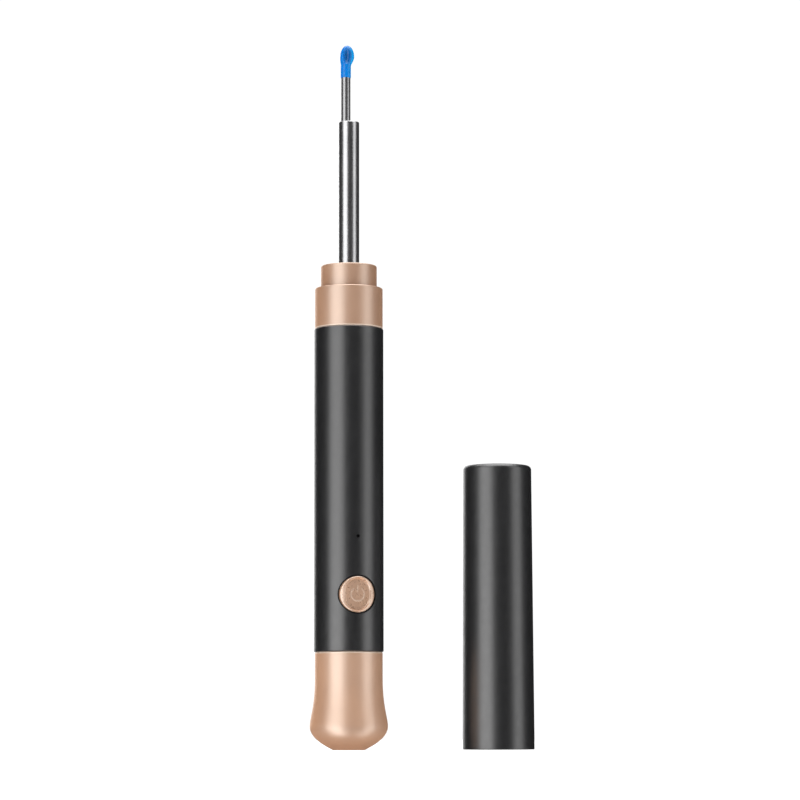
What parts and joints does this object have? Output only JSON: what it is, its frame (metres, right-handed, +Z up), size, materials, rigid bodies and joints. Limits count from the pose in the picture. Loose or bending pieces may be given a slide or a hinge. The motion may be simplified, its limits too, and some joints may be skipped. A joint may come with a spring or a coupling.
{
  "type": "ear wax cleaner",
  "caption": "Slim camera ear cleaner: black tube with flared rose-gold tail and stepped neck, steel probe with an offset blue scoop, round button, and a separate cap standing beside it.",
  "frame": {"origin": "centre of the pen's flat foot, on the surface that the pen and its cap stand on", "axes": "+Z up along the pen to its scoop; -Y is the button's side; the cap stands on the +X side"},
  "size_m": [0.0467, 0.0156, 0.1438],
  "materials": {
    "black_anodised": "bead-blasted, black anodised, satin",
    "black_cap": "satin black moulding",
    "rose_gold": "satin rose-gold anodised",
    "seal_rubber": "nitrile ring",
    "polished_steel": "polished stainless",
    "nut_brass": "turned",
    "head_plastic": "glossy black",
    "lens_glass": "coated glass",
    "clear_plastic": "clear light guide",
    "module_metal": "black lens barrel",
    "board_laminate": "green solder mask",
    "ribbon_film": "amber polyimide film",
    "blue_plastic": "translucent glossy blue",
    "black_plastic": "moulded",
    "ivory_plastic": "moulded",
    "screw_steel": "zinc plated",
    "tin_plate": "tinned shield",
    "chip_epoxy": "moulded package",
    "led_plastic": "phosphor cap",
    "part_ceramic": "fired ceramic",
    "chassis_nylon": "moulded nylon",
    "battery_foil": "foil pouch",
    "lead_rubber": "silicone insulation",
    "contact_gold": "gold plated",
    "magnet_nickel": "nickel plated"
  },
  "bodies": {
    "handle": {"body_tube": "black_anodised", "tail_cap": "rose_gold", "neck_collar": "rose_gold", "tail_seal": "seal_rubber", "neck_seal": "seal_rubber", "probe_barrel": "polished_steel", "scoop_rod": "polished_steel", "probe_nut": "nut_brass", "lens_bezel": "head_plastic", "camera_lens": "lens_glass", "light_windows": "clear_plastic", "camera_module": "module_metal", "sensor_board": "board_laminate", "camera_ribbon": "ribbon_film", "button_guide": "black_plastic", "tact_switch": "black_plastic", "circuit_board": "board_laminate", "board_screws": "screw_steel", "shield_can": "tin_plate", "processor_chip": "chip_epoxy", "ribbon_connector": "ivory_plastic", "status_led": "led_plastic", "board_components": "part_ceramic", "light_pipe": "clear_plastic", "chassis": "chassis_nylon", "battery_cell": "battery_foil", "battery_leads": "lead_rubber", "charge_insulator": "black_plastic", "contact_pin": "contact_gold", "contact_ring": "contact_gold", "dock_magnet": "magnet_nickel", "charge_board": "board_laminate", "charge_leads": "lead_rubber"},
    "scoop": {"ear_scoop": "blue_plastic"},
    "button": {"power_button": "rose_gold"},
    "plunger": {"switch_plunger": "ivory_plastic"},
    "cap": {"cap_shell": "black_cap"}
  },
  "joints": [
    {"name": "button_press", "type": "slide", "parent": "handle", "child": "button", "axis": [0, 1, 0], "range_m": [0, 0.0003], "stiffness_N_per_m": 3000, "springref_m": -0.0001},
    {"name": "plunger_press", "type": "slide", "parent": "handle", "child": "plunger", "axis": [0, 1, 0], "range_m": [0, 0.0003]},
    {"name": "scoop_pull", "type": "slide", "parent": "handle", "child": "scoop", "axis": [0, 0, 1], "range_m": [0, 0.004]},
    {"name": "cap_lift", "type": "slide", "parent": "handle", "child": "cap", "axis": [0, 0, 1], "range_m": [0, 0.051]}
  ],
  "couplings": [
    {"joint": "plunger_press", "follows": "button_press", "ratio": 1}
  ]
}
